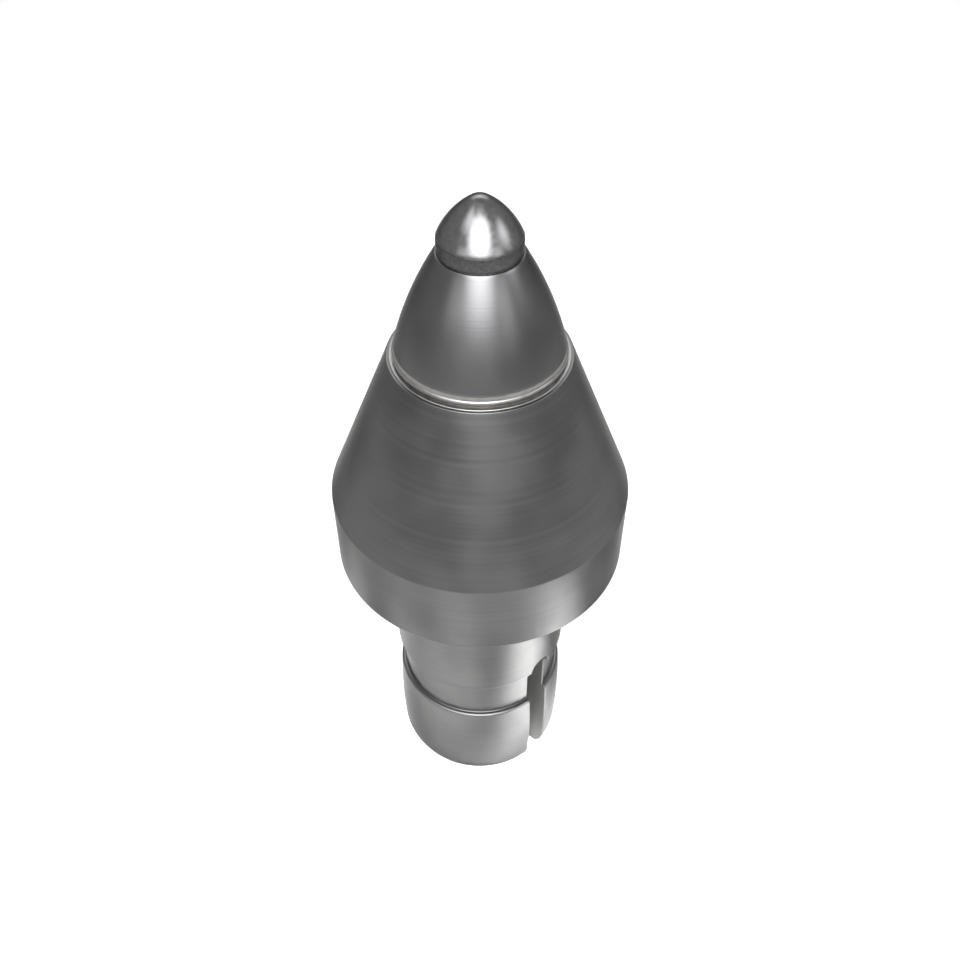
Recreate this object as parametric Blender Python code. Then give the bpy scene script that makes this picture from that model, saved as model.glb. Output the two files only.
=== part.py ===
"""Road milling pick: a steel body with a snap-in shank, a carbide bolster and a diamond-capped tip.

Metres, +Z up. The origin is the centre of the shank's flat end, and +Z runs along the axis to the tip.
The slot through the shank runs along Y, so its two mouths face -Y and +Y.
"""
from math import asin, atan2, cos, pi, radians, sin, sqrt, tan

import bmesh
import bpy
from mathutils import Vector

# Clearances and cutting
seat_gap = 0.0003
cut_overrun = 0.002
weld_distance = 0.000001

# Shank, from its flat end up to the collar
shank_diameter = 0.022
shank_length = 0.0387
shank_root_fillet = 0.0015

# Barb that snaps out behind the holder, and the neck above it, measured in from the shank's surface
barb_length = 0.0149
barb_crown_radius = 0.098
barb_shoulder_inset = 0.0001
lead_in_length = 0.0024
lead_in_radius = 0.005
shank_end_inset = 0.0012
neck_length = 0.0064
neck_depth = 0.0007

# Slot that lets the shank's end spring
slot_width = 0.003
slot_length = 0.023

# Collar and cone of the body's head
collar_diameter = 0.0346
collar_height = 0.0099
collar_chamfer = 0.0004
cone_height = 0.0187
seat_land = 0.00085

# Bore for the bolster's stem
bore_end_room = 0.0008
bore_mouth_chamfer = 0.0016
drill_point_angle = radians(118)

# Bolster
bolster_diameter = 0.018
bolster_height = 0.0119
bolster_edge_radius = 0.001
ogive_radius = 0.042
bolster_ledge = 0.00015
stem_diameter = 0.01
stem_length = 0.012
stem_root_fillet = 0.0008
stem_end_chamfer = 0.0008
pocket_diameter = 0.0056
pocket_depth = 0.0008

# Tip: a carbide substrate under a diamond cap, which meet in a shallow dome
tip_diameter = 0.0086
substrate_height = 0.00105
cap_height = 0.00425
apex_radius = 0.0018
cap_flank_radius = 0.0095
dome_land = 0.0006
dome_rise = 0.0013

# Facets
turn_segments = 72
fine_steps = 4
round_steps = 6
long_steps = 10

# Radii and heights that follow from the sizes above
shank_radius = shank_diameter / 2
neck_radius = shank_radius - neck_depth
barb_shoulder_radius = shank_radius - barb_shoulder_inset
shank_end_radius = shank_radius - shank_end_inset
collar_radius = collar_diameter / 2
bolster_radius = bolster_diameter / 2
seat_radius = bolster_radius + seat_land
stem_radius = stem_diameter / 2
bore_radius = stem_radius + seat_gap
tip_radius = tip_diameter / 2
pocket_radius = pocket_diameter / 2

neck_top = barb_length + neck_length
collar_top = shank_length + collar_height
seat_height = collar_top + cone_height
bore_depth = stem_length + bore_end_room
bolster_base = seat_height + seat_gap
bolster_top = bolster_base + bolster_height
substrate_base = bolster_top + seat_gap
cap_base = substrate_base + substrate_height + seat_gap


def arc(centre, radius, start, end, steps):
    """Points on a circle of the (radius, height) plane, from one angle to another."""
    angles = [start + (end - start) * step / steps for step in range(steps + 1)]
    return [(centre[0] + radius * cos(angle), centre[1] + radius * sin(angle)) for angle in angles]


def angle_from(centre, point):
    """Angle at which a point is seen from a centre, in the (radius, height) plane."""
    return atan2(point[1] - centre[1], point[0] - centre[0])


def crowned(start, end, radius, steps):
    """An arc between two points of the outline that bulges away from the axis."""
    start, end = Vector(start), Vector(end)
    chord = end - start
    outward = Vector((-chord.y, chord.x)).normalized()
    centre = (start + end) / 2 - outward * sqrt(radius ** 2 - (chord.length / 2) ** 2)
    return arc(centre, radius, angle_from(centre, start), angle_from(centre, end), steps)


def inner_corner(radius, height, fillet):
    """A hollow fillet from an overhanging flat at a height in to a wall at a radius."""
    return arc((radius + fillet, height - fillet), fillet, pi / 2, pi, fine_steps)


def blend_centre(small_centre, small_radius, point, blend_radius):
    """Centre of the large arc that passes through a point and runs smoothly into a small circle inside it."""
    small_centre, point = Vector(small_centre), Vector(point)
    span = point - small_centre
    reach = blend_radius - small_radius
    along = (reach ** 2 - blend_radius ** 2 + span.length ** 2) / (2 * span.length)
    aside = sqrt(reach ** 2 - along ** 2)
    direction = span.normalized()
    normal = Vector((-direction.y, direction.x))
    if normal.x > 0:
        normal = -normal
    return small_centre + direction * along + normal * aside


def steel_body_outline():
    """Bore, seat, cone, collar and shank of the body, from the bore's bottom round to the shank's end."""
    bore_floor = seat_height - bore_depth
    outline = [(0, bore_floor - bore_radius / tan(drill_point_angle / 2)), (bore_radius, bore_floor)]
    outline += [(bore_radius, seat_height - bore_mouth_chamfer), (bore_radius + bore_mouth_chamfer, seat_height)]
    outline += [(seat_radius, seat_height), (collar_radius, collar_top)]
    outline += [(collar_radius, shank_length + collar_chamfer), (collar_radius - collar_chamfer, shank_length)]
    outline += inner_corner(shank_radius, shank_length, shank_root_fillet)
    outline += [(shank_radius, neck_top), (neck_radius, neck_top - neck_depth), (neck_radius, barb_length)]
    lead_in_start = (shank_radius, lead_in_length)
    outline += crowned((barb_shoulder_radius, barb_length), lead_in_start, barb_crown_radius, round_steps)
    outline += crowned(lead_in_start, (shank_end_radius, 0), lead_in_radius, fine_steps)[1:]
    return outline + [(0, 0)]


def bolster_outline():
    """Ogive of the bolster with its tip pocket above and its stem below. Height 0 is its flat underside."""
    edge_centre = (bolster_radius - bolster_edge_radius, bolster_edge_radius)
    land_edge = (tip_radius + bolster_ledge, bolster_height)
    centre = blend_centre(edge_centre, bolster_edge_radius, land_edge, ogive_radius)
    edge_angle = angle_from(centre, edge_centre)
    pocket_floor = bolster_height - pocket_depth
    outline = [(0, pocket_floor), (pocket_radius, pocket_floor), (pocket_radius, bolster_height)]
    outline += arc(centre, ogive_radius, angle_from(centre, land_edge), edge_angle, long_steps)
    outline += arc(edge_centre, bolster_edge_radius, edge_angle, -pi / 2, round_steps)[1:]
    outline += inner_corner(stem_radius, 0, stem_root_fillet)
    outline += [(stem_radius, stem_end_chamfer - stem_length), (stem_radius - stem_end_chamfer, -stem_length)]
    return outline + [(0, -stem_length)]


def seat_braze_outline():
    """Closed section of the braze pooled in the bore's mouth. Height 0 is level with the body's seat."""
    chamfer_offset = bore_mouth_chamfer - seat_gap * sqrt(2)
    fillet_centre = (stem_radius + stem_root_fillet, seat_gap - stem_root_fillet)
    pool = arc(fillet_centre, stem_root_fillet - seat_gap, pi / 2, pi, fine_steps)
    return pool + [(bore_radius, -chamfer_offset), (bore_radius + chamfer_offset, 0)]


def tip_braze_outline():
    """Disc of braze in the bolster's pocket. Height 0 is level with the bolster's top."""
    disc_radius = pocket_radius - seat_gap
    disc_floor = seat_gap - pocket_depth
    return [(0, 0), (disc_radius, 0), (disc_radius, disc_floor), (0, disc_floor)]


def dome():
    """Radius of the dome between substrate and cap, and its centre's height over the substrate's underside."""
    foot = tip_radius - dome_land
    radius = (foot ** 2 + dome_rise ** 2) / (2 * dome_rise)
    return radius, substrate_height + dome_rise - radius


def tip_substrate_outline():
    """Carbide disc with a domed top inside a flat land. Height 0 is its underside."""
    radius, centre_height = dome()
    foot_angle = pi / 2 - asin((tip_radius - dome_land) / radius)
    outline = arc((0, centre_height), radius, pi / 2, foot_angle, round_steps)
    return outline + [(tip_radius, substrate_height), (tip_radius, 0), (0, 0)]


def diamond_cap_outline():
    """Ogive cap with a rounded apex, hollowed to fit over the dome. Height 0 is its rim."""
    apex_centre = (0, cap_height - apex_radius)
    centre = blend_centre(apex_centre, apex_radius, (tip_radius, 0), cap_flank_radius)
    apex_angle = angle_from(centre, apex_centre)
    outline = arc(apex_centre, apex_radius, pi / 2, apex_angle, round_steps)
    outline += arc(centre, cap_flank_radius, apex_angle, angle_from(centre, (tip_radius, 0)), round_steps)[1:]
    radius, centre_height = dome()
    hollow_radius = radius + seat_gap
    hollow_centre = centre_height - substrate_height - seat_gap
    rim_angle = asin(-hollow_centre / hollow_radius)
    return outline + arc((0, hollow_centre), hollow_radius, rim_angle, pi / 2, round_steps)


def finish_mesh(shape, name):
    """Turn a bmesh into an object's mesh, smooth where it is round and sharp at its turned edges."""
    bmesh.ops.recalc_face_normals(shape, faces=shape.faces)
    mesh = bpy.data.meshes.new(name)
    shape.to_mesh(mesh)
    shape.free()
    mesh.shade_smooth()
    mesh.set_sharp_from_angle(angle=radians(30))
    return mesh


def turned(name, outline, height, finish, closed_section=False):
    """Spin an outline round the axis, as on a lathe, and stand the piece at its height in the pick."""
    shape = bmesh.new()
    corners = [shape.verts.new((radius, 0, level)) for radius, level in outline]
    following = corners[1:] + corners[:1] if closed_section else corners[1:]
    edges = [shape.edges.new(pair) for pair in zip(corners, following)]
    bmesh.ops.spin(shape, geom=corners + edges, cent=(0, 0, 0), axis=(0, 0, 1), angle=2 * pi, steps=turn_segments)
    bmesh.ops.remove_doubles(shape, verts=shape.verts, dist=weld_distance)
    piece = bpy.data.objects.new(name, finish_mesh(shape, name))
    bpy.context.scene.collection.objects.link(piece)
    piece.location.z = height
    piece.data.materials.append(finish)
    return piece


def slot_cutter():
    """Slab with a round upper end that mills the slot right through the shank along Y."""
    half_width = slot_width / 2
    half_depth = collar_radius
    outline = [(-half_width, -cut_overrun), (half_width, -cut_overrun)]
    outline += arc((0, slot_length - half_width), half_width, 0, pi, long_steps)
    shape = bmesh.new()
    face = shape.faces.new([shape.verts.new((across, -half_depth, level)) for across, level in outline])
    pushed = bmesh.ops.extrude_face_region(shape, geom=[face])["geom"]
    moved = [item for item in pushed if isinstance(item, bmesh.types.BMVert)]
    bmesh.ops.translate(shape, verts=moved, vec=(0, 2 * half_depth, 0))
    cutter = bpy.data.objects.new("slot_cutter", finish_mesh(shape, "slot_cutter"))
    bpy.context.scene.collection.objects.link(cutter)
    cutter.hide_render = True
    cutter.display_type = "WIRE"
    return cutter


def metal(name, colour, roughness):
    """A plain metal or sintered finish."""
    finish = bpy.data.materials.new(name)
    finish.use_nodes = True
    shader = finish.node_tree.nodes["Principled BSDF"]
    shader.inputs["Base Color"].default_value = (*colour, 1)
    shader.inputs["Roughness"].default_value = roughness
    shader.inputs["Metallic"].default_value = 1
    return finish


def build_pick():
    """Make every piece of the pick and hang them all on one axis."""
    for item in list(bpy.data.objects):
        bpy.data.objects.remove(item)
    steel = metal("turned steel", (0.30, 0.30, 0.31), 0.32)
    carbide = metal("ground carbide", (0.25, 0.25, 0.26), 0.26)
    substrate = metal("sintered substrate", (0.16, 0.16, 0.17), 0.34)
    diamond = metal("sintered diamond", (0.20, 0.20, 0.21), 0.18)
    seat_filler = metal("silver braze of the seat", (0.62, 0.58, 0.50), 0.40)
    tip_filler = metal("silver braze of the tip", (0.66, 0.63, 0.57), 0.40)
    axis = bpy.data.objects.new("pick_axis", None)
    bpy.context.scene.collection.objects.link(axis)
    body = turned("steel_body", steel_body_outline(), 0, steel)
    slot = body.modifiers.new("slot", "BOOLEAN")
    slot.operation = "DIFFERENCE"
    slot.solver = "EXACT"
    slot.object = slot_cutter()
    pieces = [
        body,
        turned("seat_braze", seat_braze_outline(), seat_height, seat_filler, closed_section=True),
        turned("bolster", bolster_outline(), bolster_base, carbide),
        turned("tip_braze", tip_braze_outline(), bolster_top, tip_filler),
        turned("tip_substrate", tip_substrate_outline(), substrate_base, substrate),
        turned("diamond_cap", diamond_cap_outline(), cap_base, diamond),
    ]
    for piece in pieces + [slot.object]:
        piece.parent = axis


build_pick()
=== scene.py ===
"""Studio scene of the road milling pick, with every piece turned or ground as the real one is."""
from itertools import pairwise
from math import acos, asin, atan2, cos, pi, radians, sin, sqrt, tan

import bmesh
import bpy
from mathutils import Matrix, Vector


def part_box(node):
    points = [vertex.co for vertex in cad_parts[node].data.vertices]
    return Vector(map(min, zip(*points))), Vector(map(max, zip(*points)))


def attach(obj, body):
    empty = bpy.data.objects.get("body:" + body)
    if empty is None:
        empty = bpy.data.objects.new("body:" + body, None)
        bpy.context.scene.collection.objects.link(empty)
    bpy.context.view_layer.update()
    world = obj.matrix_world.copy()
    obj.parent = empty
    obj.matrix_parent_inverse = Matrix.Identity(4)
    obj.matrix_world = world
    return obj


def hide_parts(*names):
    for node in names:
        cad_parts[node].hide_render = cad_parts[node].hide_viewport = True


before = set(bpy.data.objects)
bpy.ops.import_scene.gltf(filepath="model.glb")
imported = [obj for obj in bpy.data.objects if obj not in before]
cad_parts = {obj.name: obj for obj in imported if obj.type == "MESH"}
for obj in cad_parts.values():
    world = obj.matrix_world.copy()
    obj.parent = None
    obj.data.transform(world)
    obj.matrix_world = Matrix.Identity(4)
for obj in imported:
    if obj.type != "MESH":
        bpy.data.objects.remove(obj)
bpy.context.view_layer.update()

# Places that the frame gives
body_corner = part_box("steel_body")[1]
bolster_low, bolster_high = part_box("bolster")
band_low, band_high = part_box("tip_substrate")
cap_low, cap_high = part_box("diamond_cap")
collar_radius = body_corner.x
seat_height = body_corner.z
stem_foot = bolster_low.z
bolster_top = bolster_high.z
tip_radius = band_high.x
cap_rim = cap_low.z
apex_height = cap_high.z

# Fits: the gap between the solids, the one that is left where pieces touch, how far the slot's cutter
# stands out below the shank, and how close points of a turned and of a cut mesh are before they are joined
seat_gap = 0.0003
contact_gap = 0.00001
cut_overrun = 0.002
weld_distance = 0.000001
sliver_width = 0.00003

# Shank, barb and slot, whose cutter keeps a trace of a flat between the two roundings of its end
shank_radius = 0.011
shank_length = 0.0387
shank_root_fillet = 0.0015
barb_length = 0.0149
barb_crown_radius = 0.098
barb_shoulder_inset = 0.0001
lead_in_length = 0.0024
lead_in_radius = 0.005
shank_end_inset = 0.0012
neck_length = 0.0064
neck_depth = 0.0007
neck_root_fillet = 0.00015
slot_width = 0.003
slot_length = 0.023
slot_round_share = 0.999

# Head of the body
collar_height = 0.0099
collar_chamfer = 0.0004
seat_radius = 0.00985
bore_end_room = 0.0008
bore_mouth_chamfer = 0.0016
drill_point_angle = radians(118)

# Bolster, braze and tip
bolster_radius = 0.009
bolster_edge_radius = 0.001
ogive_radius = 0.042
bolster_ledge = 0.00015
stem_radius = 0.005
stem_root_fillet = 0.0008
stem_end_chamfer = 0.0008
pocket_radius = 0.0028
pocket_depth = 0.0008
bead_radius = 0.00032
bead_height = 0.00055
bead_standout = 0.00024
bead_foot_standout = 0.00012
bead_end_angle = radians(-40)
skirt_thickness = 0.00003
braze_film = 0.00011
braze_margin = 0.00025
tip_film = 0.00003
substrate_height = 0.00105
apex_radius = 0.0018
cap_flank_radius = 0.0095
dome_land = 0.0006
dome_rise = 0.0013

# Radii that the lathe, the deburring and the grinder leave on the edges
steel_edge_radius = 0.00012
seat_edge_radius = 0.0001
barb_edge_radius = 0.00038
slot_edge_radius = 0.0001
carbide_edge_radius = 0.00005
diamond_edge_radius = 0.00004

# Fineness of the meshes, the angles from which an edge counts as sharp, and the share of the slot's half
# width beyond which the shank's upright edges only skim its round end
turn_segments = 144
ring_spacing = 0.002
arc_step = radians(6)
arc_spacing = 0.0004
edge_segments = 3
slot_end_segments = 16
turned_edge_angle = radians(15)
smooth_angle = radians(35)
slot_burr_angle = radians(50)
slot_skim_share = 0.9

# Curve of the sRGB colours: its top value, the end and the slope of its straight part, and the offset and
# the power of the rest
brightest = 255
straight_end = 0.04045
straight_slope = 12.92
curve_offset = 0.055
curve_power = 2.4

# Sizes of the finishes' marks. The clouds, the braze's ripples and the paper's tooth have their real size.
# The rest is too fine to show in the render and is drawn coarser: the real feed of the turning tool is
# about 0.25 mm a turn, grinding marks are 0.02 mm apart, tumbling and scale roughen the steel at about
# 0.1 mm, and the grains of carbide and of diamond are a few thousandths of a millimetre.
cloud_size = 0.006
braze_ripple = 0.0008
paper_tooth = 0.0006
feed_pitch = 0.0006
grinding_pitch = 0.00025
tumble_grain = 0.0004
scale_grain = 0.0005
carbide_grain = 0.0003
diamond_grain = 0.0005

# Depths of the marks
feed_depth = 0.0000018
grinding_depth = 0.0000015
tumble_depth = 0.0000012
carbide_depth = 0.000001
diamond_depth = 0.0000004
scale_depth = 0.00001
braze_depth = 0.00001

# How the patterns are laid: the slope of the rings across the axis, the rings' share beside the clouds,
# the layers of a noise, and the range that it mostly keeps to
ring_lean_share = -0.7
ring_share = 0.2
noise_layers = 1
noise_low = 0.3
noise_high = 0.7

# Sockets of the Mix node, whose names repeat: its two numbers, its two colours and the mixed colour
mix_numbers = (2, 3)
mix_colours = (6, 7)
mixed_colour = 2

# Colours from darkest to lightest, and what a bare metal turns to where it is seen at a low angle
steel_greys = ("#5A5A5A", "#636363")
carbide_greys = ("#5D5D5E", "#636364")
band_greys = ("#474748", "#525253")
diamond_greys = ("#6A6A6B", "#707071")
braze_greys = ("#7E7D7B", "#878684")
scale_greys = ("#3D3D3C", "#474745")
paper_greys = ("#D6D6D5", "#DADAD9")
grazing_tint = "#A5A5A5"
room_grey = "#D7D7D7"

# Roughness from smoothest to roughest. No range crosses 0.275, about where the renderer's removal of noise
# stops taking a metal for a mirror, because that border would show as a line.
steel_roughness = (0.278, 0.33)
carbide_roughness = (0.278, 0.31)
band_roughness = (0.3, 0.38)
diamond_roughness = (0.22, 0.27)
braze_roughness = (0.3, 0.38)
scale_roughness = (0.55, 0.65)
paper_roughness = (0.88, 0.92)

# Camera, aimed at the middle of the pick's axis, and floor
view_target = Vector((0, 0, 0.04827))
view_distance = 0.12086
view_azimuth = radians(-46)
view_elevation = radians(45)
view_angle = radians(50)
near_clip = 0.001
floor_size = 8.0
foot_lamp_distance = 0.4
foot_lamp_radius = 0.01

# Softboxes: azimuth off the camera's, elevation, distance, width, height, radiance and grid angle
softboxes = {
    "front softbox": (0, radians(42), 0.35, 0.36, 0.34, 14.5, radians(74)),
    "fill softbox": (radians(12), radians(32), 0.5, 1.0, 0.5, 0.6, pi),
    "back softbox": (pi, radians(50), 0.4, 0.5, 0.19, 3.6, radians(80)),
    "right softbox": (radians(80), radians(28), 0.4, 0.26, 0.2, 5.5, radians(40)),
    "left softbox": (radians(-60), radians(52), 0.4, 0.26, 0.22, 5.5, radians(38)),
    "low left softbox": (radians(-44), radians(19), 0.4, 0.2, 0.1, 2.2, radians(56)),
    "low right softbox": (radians(45), radians(19), 0.4, 0.16, 0.1, 2.3, radians(56)),
}

# Spotlights on the paper: azimuth off the camera's, elevation, reach from the axis, beam and power
foot_lights = {
    "right foot light": (radians(58), radians(40), 0.032, radians(3.3), 290),
    "collar light": (radians(42), radians(45), 0.062, radians(5), 18),
    "right barb light": (radians(52), radians(40), 0.015, radians(2.2), 120),
    "left barb light": (radians(-35), radians(35), 0.02, radians(2.6), 18),
    "front foot light": (radians(-15), radians(20), 0.043, radians(2.4), 75),
    "left foot light": (radians(-55), radians(30), 0.036, radians(2.2), 75),
    "back foot light": (radians(-98), radians(30), 0.035, radians(3), 150),
    "far floor light": (pi, radians(60), 0.33, radians(60), 9),
}

# Heights and centres that follow
bolster_base = seat_height + seat_gap
bore_radius = stem_radius + seat_gap
collar_top = shank_length + collar_height
bore_floor = stem_foot - bore_end_room
neck_top = barb_length + neck_length
band_floor = bolster_top + tip_film + 2 * contact_gap
band_top = cap_rim - contact_gap
nose_edge_centre = (bolster_radius - bolster_edge_radius, bolster_base + bolster_edge_radius)
stem_root_centre = (stem_radius + stem_root_fillet, bolster_base - stem_root_fillet)


def linear(hex_colour):
    """Linear colour of an sRGB hex value."""
    colour = []
    for level in bytes.fromhex(hex_colour[1:]):
        part = level / brightest
        if part <= straight_end:
            colour.append(part / straight_slope)
        else:
            colour.append(((part + curve_offset) / (1 + curve_offset)) ** curve_power)
    return colour + [1]


def add(tree, kind, settings=(), links=()):
    """Add a node, set its properties or inputs, and link other nodes' outputs to its inputs."""
    node = tree.nodes.new("ShaderNode" + kind)
    for name, value in dict(settings).items():
        if isinstance(name, int) or name in node.inputs:
            node.inputs[name].default_value = value
        else:
            setattr(node, name, value)
    for name, output in dict(links).items():
        tree.links.new(output, node.inputs[name])
    return node


def arc(centre, radius, start, end):
    """Points on a circle of the (radius, height) plane, from one angle to another."""
    turn_angle = abs(end - start)
    steps = max(2, round(turn_angle / arc_step), round(turn_angle * radius / arc_spacing))
    angles = [start + (end - start) * step / steps for step in range(steps + 1)]
    return [(centre[0] + radius * cos(angle), centre[1] + radius * sin(angle)) for angle in angles]


def angle_from(centre, point):
    """Angle at which a point is seen from a centre, in the (radius, height) plane."""
    return atan2(point[1] - centre[1], point[0] - centre[0])


def crowned(start, end, radius):
    """An arc between two points of the outline that bulges away from the axis."""
    start, end = Vector(start), Vector(end)
    chord = end - start
    outward = Vector((-chord.y, chord.x)).normalized()
    centre = (start + end) / 2 - outward * sqrt(radius ** 2 - (chord.length / 2) ** 2)
    return arc(centre, radius, angle_from(centre, start), angle_from(centre, end))


def blend_centre(small_centre, small_radius, point, blend_radius):
    """Centre of the large arc that passes through a point and runs smoothly into a small circle."""
    small_centre, point = Vector(small_centre), Vector(point)
    span = point - small_centre
    reach = blend_radius - small_radius
    along = (reach ** 2 - blend_radius ** 2 + span.length ** 2) / (2 * span.length)
    aside = sqrt(reach ** 2 - along ** 2)
    direction = span.normalized()
    normal = Vector((-direction.y, direction.x))
    if normal.x > 0:
        normal = -normal
    return small_centre + direction * along + normal * aside


def with_rings(outline):
    """The outline with extra points along its walls, so that they are turned as even rings."""
    points = [outline[0]]
    for start, end in pairwise(outline):
        run = Vector(end) - Vector(start)
        pieces = max(1, round(run.length / ring_spacing)) if run.y else 1
        points += [tuple(Vector(start) + run * step / pieces) for step in range(1, pieces + 1)]
    return points


def rounded(before, corner, after, radius):
    """The arc that rounds a corner of the outline, tangent to the runs on its two sides."""
    corner = Vector(corner)
    back = (Vector(before) - corner).normalized()
    ahead = (Vector(after) - corner).normalized()
    half_angle = back.angle(ahead) / 2
    centre = corner + (back + ahead).normalized() * radius / sin(half_angle)
    start = angle_from(centre, corner + back * radius / tan(half_angle))
    end = angle_from(centre, corner + ahead * radius / tan(half_angle))
    sweep = (end - start + pi) % (2 * pi) - pi
    return arc(centre, radius, start, start + sweep)


def deselect_all():
    """Leave nothing selected, so that an operator works on the new piece alone."""
    bpy.ops.object.select_all(action="DESELECT")


def turn(name, outline, edge_radius, material):
    """Turn a piece: extrude a point along the outline, spin it round the axis and round the sharp edges."""
    deselect_all()
    # A plane, which is merged to the outline's first point below
    bpy.ops.mesh.primitive_plane_add(size=tip_radius)
    piece = bpy.context.active_object
    piece.name = name
    piece.data.materials.append(material)
    points = with_rings(outline)
    bpy.ops.object.mode_set(mode="EDIT")
    bpy.ops.mesh.select_mode(type="VERT")
    bpy.ops.mesh.merge(type="CENTER")
    bpy.ops.transform.translate(value=(points[0][0], 0, points[0][1]))
    for start, end in pairwise(points):
        step = (end[0] - start[0], 0, end[1] - start[1])
        bpy.ops.mesh.extrude_vertices_move(TRANSFORM_OT_translate={"value": step})
    bpy.ops.mesh.select_all(action="SELECT")
    bpy.ops.mesh.spin(steps=turn_segments, angle=2 * pi, center=(0, 0, 0), axis=(0, 0, 1))
    bpy.ops.mesh.select_all(action="SELECT")
    bpy.ops.mesh.remove_doubles(threshold=weld_distance)
    bpy.ops.mesh.normals_make_consistent(inside=False)
    bpy.ops.mesh.select_mode(type="EDGE")
    bpy.ops.mesh.select_all(action="DESELECT")
    bpy.ops.mesh.edges_select_sharp(sharpness=turned_edge_angle)
    for edge in bmesh.from_edit_mesh(piece.data).edges:
        edge.select_set(edge.select and edge.is_convex)
    bpy.ops.mesh.bevel(offset=edge_radius, segments=edge_segments, affect="EDGES", clamp_overlap=True)
    bpy.ops.object.mode_set(mode="OBJECT")
    return piece


def smooth(piece):
    """Shade a piece smooth, with crisp normals on its wide faces."""
    deselect_all()
    piece.select_set(True)
    bpy.context.view_layer.objects.active = piece
    bpy.ops.object.shade_smooth_by_angle(angle=smooth_angle)
    bpy.ops.object.modifier_add(type="WEIGHTED_NORMAL")
    piece.modifiers[-1].keep_sharp = True
    bpy.ops.object.modifier_apply(modifier=piece.modifiers[-1].name)


def body_outline():
    """Bore, seat, cone, collar, shank, neck and barb of the body."""
    outline = [(0, bore_floor - bore_radius / tan(drill_point_angle / 2)), (bore_radius, bore_floor)]
    mouth_edge = (bore_radius + bore_mouth_chamfer, seat_height)
    collar_edge = (collar_radius, collar_top)
    outline += [(bore_radius, seat_height - bore_mouth_chamfer), mouth_edge]
    outline += rounded(mouth_edge, (seat_radius, seat_height), collar_edge, seat_edge_radius)
    outline += [collar_edge, (collar_radius, shank_length + collar_chamfer)]
    outline += [(collar_radius - collar_chamfer, shank_length)]
    root_centre = (shank_radius + shank_root_fillet, shank_length - shank_root_fillet)
    outline += arc(root_centre, shank_root_fillet, pi / 2, pi)
    neck_radius = shank_radius - neck_depth
    neck_edge = (neck_radius, neck_top - neck_depth)
    neck_root = (neck_radius, barb_length)
    shoulder_edge = (shank_radius - barb_shoulder_inset, barb_length)
    lead_in_start = (shank_radius, lead_in_length)
    outline += [(shank_radius, neck_top), neck_edge]
    outline += rounded(neck_edge, neck_root, shoulder_edge, neck_root_fillet)
    outline += rounded(neck_root, shoulder_edge, (shoulder_edge[0], 0), barb_edge_radius)
    crown_start = (shoulder_edge[0], barb_length - barb_edge_radius)
    outline += crowned(crown_start, lead_in_start, barb_crown_radius)[1:]
    outline += crowned(lead_in_start, (shank_radius - shank_end_inset, 0), lead_in_radius)[1:]
    return outline + [(0, 0)]


def select_edges(piece, chosen):
    """Select the edges of the piece in edit mode for which a test is true."""
    bpy.ops.mesh.select_mode(type="EDGE")
    bpy.ops.mesh.select_all(action="DESELECT")
    for edge in bmesh.from_edit_mesh(piece.data).edges:
        edge.select_set(chosen(edge))


def is_cutter_shoulder(edge):
    """Whether an edge of the cutter's block runs along the slot at its upper end."""
    start, end = (point.co for point in edge.verts)
    at_top = min(start.z, end.z) > slot_length - slot_width / 2
    return at_top and abs(start.x - end.x) < slot_width / 2


def skims_slot_end(edge):
    """Whether an upright edge of the shank meets the slot's round end too flatly to be bevelled."""
    low, high = sorted((end.co for end in edge.verts), key=lambda place: place.z)
    on_shank = edge.calc_face_angle() < slot_burr_angle and abs(high.x - low.x) < contact_gap
    at_round_end = slot_length - slot_width / 2 < low.z < slot_length
    return on_shank and at_round_end and slot_skim_share < 2 * abs(low.x) / slot_width < 1


def has_burr(edge):
    """Whether the cutter has left an edge sharp."""
    beside_slot = all(abs(end.co.x) < slot_width / 2 + contact_gap for end in edge.verts)
    in_reach = all(end.co.z < slot_length + contact_gap for end in edge.verts)
    return beside_slot and in_reach and edge.is_convex and edge.calc_face_angle() > slot_burr_angle


def slot_cutter(slot_finish):
    """Block with a round upper end that leaves its finish on what it cuts."""
    deselect_all()
    bpy.ops.mesh.primitive_cube_add(size=1)
    cutter = bpy.context.active_object
    cutter.data.materials.append(slot_finish)
    height = slot_length + cut_overrun
    bpy.ops.object.mode_set(mode="EDIT")
    bpy.ops.transform.resize(value=(slot_width, 2 * collar_radius, height))
    bpy.ops.transform.translate(value=(0, 0, slot_length - height / 2))
    select_edges(cutter, is_cutter_shoulder)
    rounding = slot_width / 2 * slot_round_share
    bpy.ops.mesh.bevel(offset=rounding, segments=slot_end_segments, affect="EDGES")
    bpy.ops.object.mode_set(mode="OBJECT")
    return cutter


def cut(body, cutter):
    """Take the cutter's shape out of the body, and the cutter out of the scene."""
    deselect_all()
    body.select_set(True)
    bpy.context.view_layer.objects.active = body
    bpy.ops.object.modifier_add(type="BOOLEAN")
    boolean = body.modifiers[-1]
    boolean.operation = "DIFFERENCE"
    boolean.solver = "EXACT"
    boolean.material_mode = "TRANSFER"
    boolean.object = cutter
    bpy.ops.object.modifier_apply(modifier=boolean.name)
    bpy.data.objects.remove(cutter)


def sort_by(elements, key):
    """Number a mesh's points, edges or faces anew in the order of a key."""
    ranks = {element: rank for rank, element in enumerate(sorted(elements, key=key))}
    elements.sort(key=ranks.get)
    elements.index_update()


def put_in_order(piece):
    """Sort a mesh by place, because the Boolean leaves its points and faces in another order each run."""
    mesh = bmesh.from_edit_mesh(piece.data)
    sort_by(mesh.verts, lambda point: tuple(point.co))
    sort_by(mesh.edges, lambda edge: sorted(point.index for point in edge.verts))
    sort_by(mesh.faces, lambda face: sorted(point.index for point in face.verts))
    bmesh.update_edit_mesh(piece.data)


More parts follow.
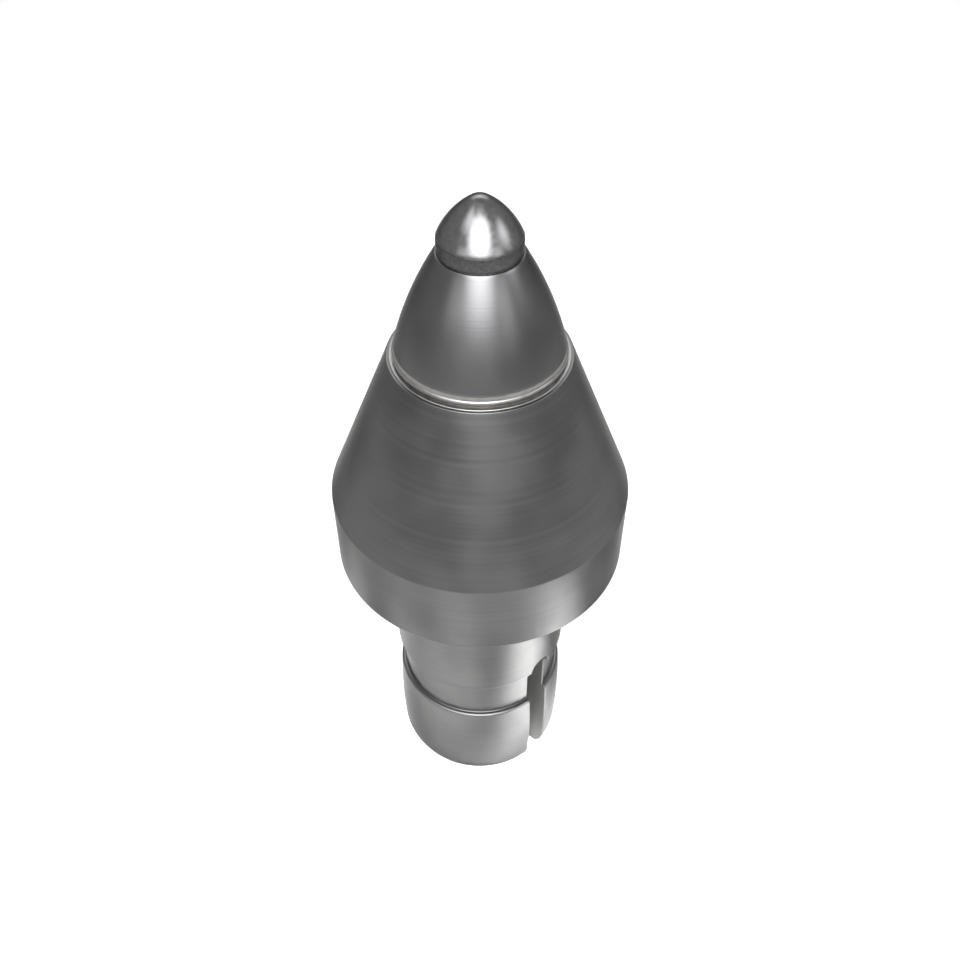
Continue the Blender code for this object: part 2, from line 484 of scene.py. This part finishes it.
def mill_slot(body, slot_finish):
    """Saw the slot through the shank, clean the mesh along it and take the burr off its edges."""
    cut(body, slot_cutter(slot_finish))
    bpy.ops.object.mode_set(mode="EDIT")
    put_in_order(body)
    bpy.ops.mesh.select_mode(type="VERT")
    bpy.ops.mesh.select_all(action="SELECT")
    bpy.ops.mesh.remove_doubles(threshold=sliver_width)
    bpy.ops.mesh.select_mode(type="FACE")
    bpy.ops.mesh.select_all(action="DESELECT")
    for face in bmesh.from_edit_mesh(body.data).faces:
        face.select_set(face.calc_center_median().z < contact_gap)
    bpy.ops.mesh.dissolve_faces()
    select_edges(body, skims_slot_end)
    bpy.ops.mesh.dissolve_edges(use_verts=False)
    select_edges(body, has_burr)
    bpy.ops.mesh.bevel(offset=slot_edge_radius, segments=edge_segments, affect="EDGES")
    bpy.ops.object.mode_set(mode="OBJECT")


def make_body():
    """Steel body, turned from bar and slotted."""
    body = turn("body_turned", body_outline(), steel_edge_radius, turned_alloy_steel())
    mill_slot(body, quench_scale())
    return body


def make_bolster():
    """Carbide nose, ground to its ogive, with the stem and the tip's pocket."""
    pocket_floor = bolster_top - pocket_depth
    land_edge = (tip_radius + bolster_ledge, bolster_top)
    centre = blend_centre(nose_edge_centre, bolster_edge_radius, land_edge, ogive_radius)
    edge_angle = angle_from(centre, nose_edge_centre)
    outline = [(0, pocket_floor), (pocket_radius, pocket_floor), (pocket_radius, bolster_top)]
    outline += arc(centre, ogive_radius, angle_from(centre, land_edge), edge_angle)
    outline += arc(nose_edge_centre, bolster_edge_radius, edge_angle, -pi / 2)[1:]
    outline += arc(stem_root_centre, stem_root_fillet, pi / 2, pi)
    outline += [(stem_radius, stem_foot + stem_end_chamfer), (stem_radius - stem_end_chamfer, stem_foot)]
    outline += [(0, stem_foot)]
    return turn("bolster_ground", outline, carbide_edge_radius, ground_tungsten_carbide())


def make_seat_braze():
    """Braze under the bolster: the pool in the bore's mouth, the bead round the nose, a film on the seat."""
    low = seat_height + contact_gap
    skirt = bolster_radius + contact_gap + skirt_thickness
    pool_depth = bore_mouth_chamfer - contact_gap
    bead_centre = (bolster_radius + bead_standout - bead_radius, seat_height + bead_height)
    bead_start = acos((skirt - bead_centre[0]) / bead_radius)
    outline = arc(stem_root_centre, stem_root_fillet - contact_gap, pi, pi / 2)
    outline += arc(nose_edge_centre, bolster_edge_radius + contact_gap, -pi / 2, 0)
    outline += arc(bead_centre, bead_radius, bead_start, bead_end_angle)
    outline += [(bolster_radius + bead_foot_standout, low + braze_film)]
    outline += arc((seat_radius - braze_margin - braze_film, low), braze_film, pi / 2, 0)
    outline += [(bore_radius + pool_depth, low)]
    outline += [(bore_radius - contact_gap, low - pool_depth), outline[0]]
    return turn("seat_braze_bead", outline, contact_gap, silver_braze("silver braze of the seat"))


def make_tip_braze():
    """Braze that fills the bolster's pocket under the tip, with its film on the land."""
    radius = pocket_radius - contact_gap
    pocket_floor = bolster_top - pocket_depth + contact_gap
    film_floor = bolster_top + contact_gap
    film_top = band_floor - contact_gap
    outline = [(0, film_top), (tip_radius, film_top), (tip_radius, film_floor)]
    outline += [(radius, film_floor), (radius, pocket_floor), (0, pocket_floor)]
    return turn("tip_braze_disc", outline, contact_gap, silver_braze("silver braze of the tip"))


def dome(height):
    """Radius of the dome between band and cap, and its centre's height over a land at a height."""
    foot = tip_radius - dome_land
    radius = (foot ** 2 + dome_rise ** 2) / (2 * dome_rise)
    return radius, height + dome_rise - radius


def make_band():
    """Carbide band that carries the cap on its dome."""
    radius, centre_height = dome(band_low.z + substrate_height)
    foot = tip_radius - dome_land
    outline = arc((0, centre_height), radius, pi / 2, pi / 2 - asin(foot / radius))
    outline += [(foot, band_top), (tip_radius, band_top), (tip_radius, band_floor), (0, band_floor)]
    return turn("tip_band", outline, carbide_edge_radius, sintered_carbide_band())


def make_cap():
    """Diamond cap, an ogive with a rounded apex that is hollow over the dome."""
    apex_centre = (0, apex_height - apex_radius)
    centre = blend_centre(apex_centre, apex_radius, (tip_radius, cap_rim), cap_flank_radius)
    apex_angle = angle_from(centre, apex_centre)
    outline = arc(apex_centre, apex_radius, pi / 2, apex_angle)
    outline += arc(centre, cap_flank_radius, apex_angle, angle_from(centre, (tip_radius, cap_rim)))[1:]
    radius, centre_height = dome(band_low.z + substrate_height)
    hollow_radius = radius + seat_gap
    hollow_rim_angle = asin((cap_rim - centre_height) / hollow_radius)
    outline += arc((0, centre_height), hollow_radius, hollow_rim_angle, pi / 2)
    return turn("cap_lapped", outline, diamond_edge_radius, lapped_sintered_diamond())


def finish(name, settings=()):
    """A new material with its constants set, its node tree, its shader and the place on the piece."""
    material = bpy.data.materials.new(name)
    material.use_nodes = True
    tree = material.node_tree
    shader = tree.nodes["Principled BSDF"]
    for socket, value in dict(settings).items():
        shader.inputs[socket].default_value = value
    return material, tree, shader, add(tree, "TexCoord").outputs["Object"]


def bare_metal(name):
    """A new metal, which stays grey where it is seen at a low angle."""
    return finish(name, {"Metallic": 1, "Specular Tint": linear(grazing_tint)})


def rings_round_axis(tree, place, pitch):
    """Rings of uneven depth round the axis, at the pitch of a tool's feed, on walls and on flats."""
    parts = add(tree, "SeparateXYZ", links={"Vector": place})
    across = add(tree, "CombineXYZ", links={"X": parts.outputs["X"], "Y": parts.outputs["Y"]})
    radius = add(tree, "VectorMath", {"operation": "LENGTH"}, {0: across.outputs["Vector"]})
    lean = {"operation": "MULTIPLY_ADD", 1: ring_lean_share}
    path = add(tree, "Math", lean, {0: radius.outputs["Value"], 2: parts.outputs["Z"]})
    noise = {"noise_dimensions": "1D", "Scale": 1 / pitch, "Detail": 0}
    return add(tree, "TexNoise", noise, {"W": path.outputs["Value"]}).outputs["Fac"]


def mottle(tree, place, size):
    """Soft clouds or grains of a size, from 0 to 1."""
    noise = {"Scale": 1 / size, "Detail": noise_layers}
    return add(tree, "TexNoise", noise, {"Vector": place}).outputs["Fac"]


def vary(tree, shader, pattern, greys, roughnesses):
    """Let the colour and the roughness follow a pattern, each from its first limit to its second."""
    spread = {"interpolation_type": "SMOOTHSTEP", "From Min": noise_low, "From Max": noise_high}
    share = add(tree, "MapRange", spread, {"Value": pattern}).outputs["Result"]
    colours = dict(zip(mix_colours, map(linear, greys)))
    colour = add(tree, "Mix", {"data_type": "RGBA", **colours}, {0: share})
    tree.links.new(colour.outputs[mixed_colour], shader.inputs["Base Color"])
    limits = {"To Min": roughnesses[0], "To Max": roughnesses[1]}
    roughness = add(tree, "MapRange", limits, {"Value": share})
    tree.links.new(roughness.outputs["Result"], shader.inputs["Roughness"])


def relief(tree, shader, layers):
    """Lay bumps over each other, each a pattern with its real depth in metres."""
    normal = {}
    for height, depth in layers:
        bump = add(tree, "Bump", {"Distance": depth}, {"Height": height, **normal})
        normal = {"Normal": bump.outputs["Normal"]}
    tree.links.new(normal["Normal"], shader.inputs["Normal"])


def turned_alloy_steel():
    """Alloy steel, turned, quenched and tumbled: satin grey, a little cloudy, with faint feed rings."""
    material, tree, shader, place = bare_metal("turned alloy steel")
    rings = rings_round_axis(tree, place, feed_pitch)
    clouds = mottle(tree, place, cloud_size)
    both = add(tree, "Mix", {0: ring_share}, dict(zip(mix_numbers, (clouds, rings)))).outputs[0]
    vary(tree, shader, both, steel_greys, steel_roughness)
    relief(tree, shader, [(rings, feed_depth), (mottle(tree, place, tumble_grain), tumble_depth)])
    return material


def quench_scale():
    """Scale of the quench, which tumbling doesn't reach in the narrow slot: dull, dark and granular."""
    material, tree, shader, place = finish("quench scale")
    crust = mottle(tree, place, scale_grain)
    vary(tree, shader, crust, scale_greys, scale_roughness)
    relief(tree, shader, [(crust, scale_depth)])
    return material


def ground_tungsten_carbide():
    """Cobalt-bonded carbide off the grinding wheel: dense, smooth satin grey with a fine even grit."""
    material, tree, shader, place = bare_metal("ground tungsten carbide")
    rings = rings_round_axis(tree, place, grinding_pitch)
    vary(tree, shader, mottle(tree, place, cloud_size), carbide_greys, carbide_roughness)
    relief(tree, shader, [(rings, grinding_depth), (mottle(tree, place, carbide_grain), carbide_depth)])
    return material


def sintered_carbide_band():
    """Pressed and sintered carbide with its rim ground round: darker and less glossy than the nose."""
    material, tree, shader, place = bare_metal("sintered carbide band")
    rings = rings_round_axis(tree, place, grinding_pitch)
    grain = mottle(tree, place, carbide_grain)
    vary(tree, shader, grain, band_greys, band_roughness)
    relief(tree, shader, [(rings, grinding_depth), (grain, carbide_depth)])
    return material


def lapped_sintered_diamond():
    """Diamond grains bound by cobalt and lapped: a dark grey that shines like metal, faintly speckled."""
    material, tree, shader, place = bare_metal("lapped sintered diamond")
    grain = mottle(tree, place, diamond_grain)
    vary(tree, shader, grain, diamond_greys, diamond_roughness)
    relief(tree, shader, [(grain, diamond_depth)])
    return material


def silver_braze(name):
    """Silver filler that froze where it flowed: pale, a trace yellow, soft in gloss and uneven."""
    material, tree, shader, place = finish(name, {"Metallic": 1})
    flow = mottle(tree, place, braze_ripple)
    vary(tree, shader, flow, braze_greys, braze_roughness)
    relief(tree, shader, [(flow, braze_depth)])
    return material


def matt_paper():
    """Uncoated studio paper, calendered: matt and pale, with a faint tooth."""
    material, tree, shader, place = finish("matt paper")
    vary(tree, shader, mottle(tree, place, paper_tooth), paper_greys, paper_roughness)
    return material


def floor():
    """Plain pale paper, wide enough to fill the picture."""
    deselect_all()
    bpy.ops.mesh.primitive_plane_add(size=floor_size)
    ground = bpy.context.active_object
    ground.name = "floor"
    ground.data.materials.append(matt_paper())


def towards(azimuth, elevation):
    """Unit vector from the pick towards a compass direction and a height."""
    return Vector((sin(azimuth) * cos(elevation), -cos(azimuth) * cos(elevation), sin(elevation)))


def put_facing(name, data, target, direction, distance):
    """A camera or a light at a distance from its target in a direction, turned to face it."""
    stand = bpy.data.objects.new(name, data)
    bpy.context.scene.collection.objects.link(stand)
    stand.location = target + direction * distance
    stand.rotation_euler = direction.to_track_quat("Z", "Y").to_euler()
    return stand


def softbox(name, azimuth, elevation, distance, width, height, radiance, grid_angle):
    """A soft light with a grid, which faces the pick from a direction off the camera's."""
    lamp = bpy.data.lights.new(name, "AREA")
    lamp.shape = "RECTANGLE"
    lamp.size = width
    lamp.size_y = height
    lamp.spread = grid_angle
    grid_gain = tan(grid_angle / 2) / (tan(grid_angle / 2) - grid_angle / 2)
    lamp.energy = radiance * pi * width * height / grid_gain
    direction = towards(view_azimuth + azimuth, elevation)
    put_facing(name, lamp, view_target, direction, distance).visible_camera = False


def foot_light(name, azimuth, elevation, reach, beam_angle, power):
    """A narrow spotlight that brightens the paper beside the pick's foot, which the shank mirrors."""
    lamp = bpy.data.lights.new(name, "SPOT")
    lamp.energy = power
    lamp.spot_size = beam_angle
    lamp.spot_blend = 1
    lamp.shadow_soft_size = foot_lamp_radius
    direction = towards(view_azimuth + azimuth, elevation)
    aim = towards(view_azimuth + azimuth, 0) * reach
    put_facing(name, lamp, aim, direction, foot_lamp_distance).visible_camera = False


def studio():
    """Camera at the photograph's angle, a grey room, the softboxes and the lights on the paper."""
    lens = bpy.data.cameras.new("camera")
    lens.angle = view_angle
    lens.clip_start = near_clip
    direction = towards(view_azimuth, view_elevation)
    bpy.context.scene.camera = put_facing("camera", lens, view_target, direction, view_distance)
    bpy.context.scene.view_settings.view_transform = "Standard"
    world = bpy.data.worlds.new("grey room")
    world.use_nodes = True
    world.node_tree.nodes["Background"].inputs["Color"].default_value = linear(room_grey)
    bpy.context.scene.world = world
    for name, setting in softboxes.items():
        softbox(name, *setting)
    for name, setting in foot_lights.items():
        foot_light(name, *setting)


def dress():
    """Make every piece, shade it smooth and let it stand for its solid."""
    made = [
        (make_body(), "steel_body", "turned_steel"),
        (make_seat_braze(), "seat_braze", "seat_silver_braze"),
        (make_bolster(), "bolster", "ground_carbide"),
        (make_tip_braze(), "tip_braze", "tip_silver_braze"),
        (make_band(), "tip_substrate", "sintered_substrate"),
        (make_cap(), "diamond_cap", "sintered_diamond"),
    ]
    for piece, node, slot in made:
        smooth(piece)
        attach(piece, "root")
        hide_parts(node)


dress()
floor()
studio()
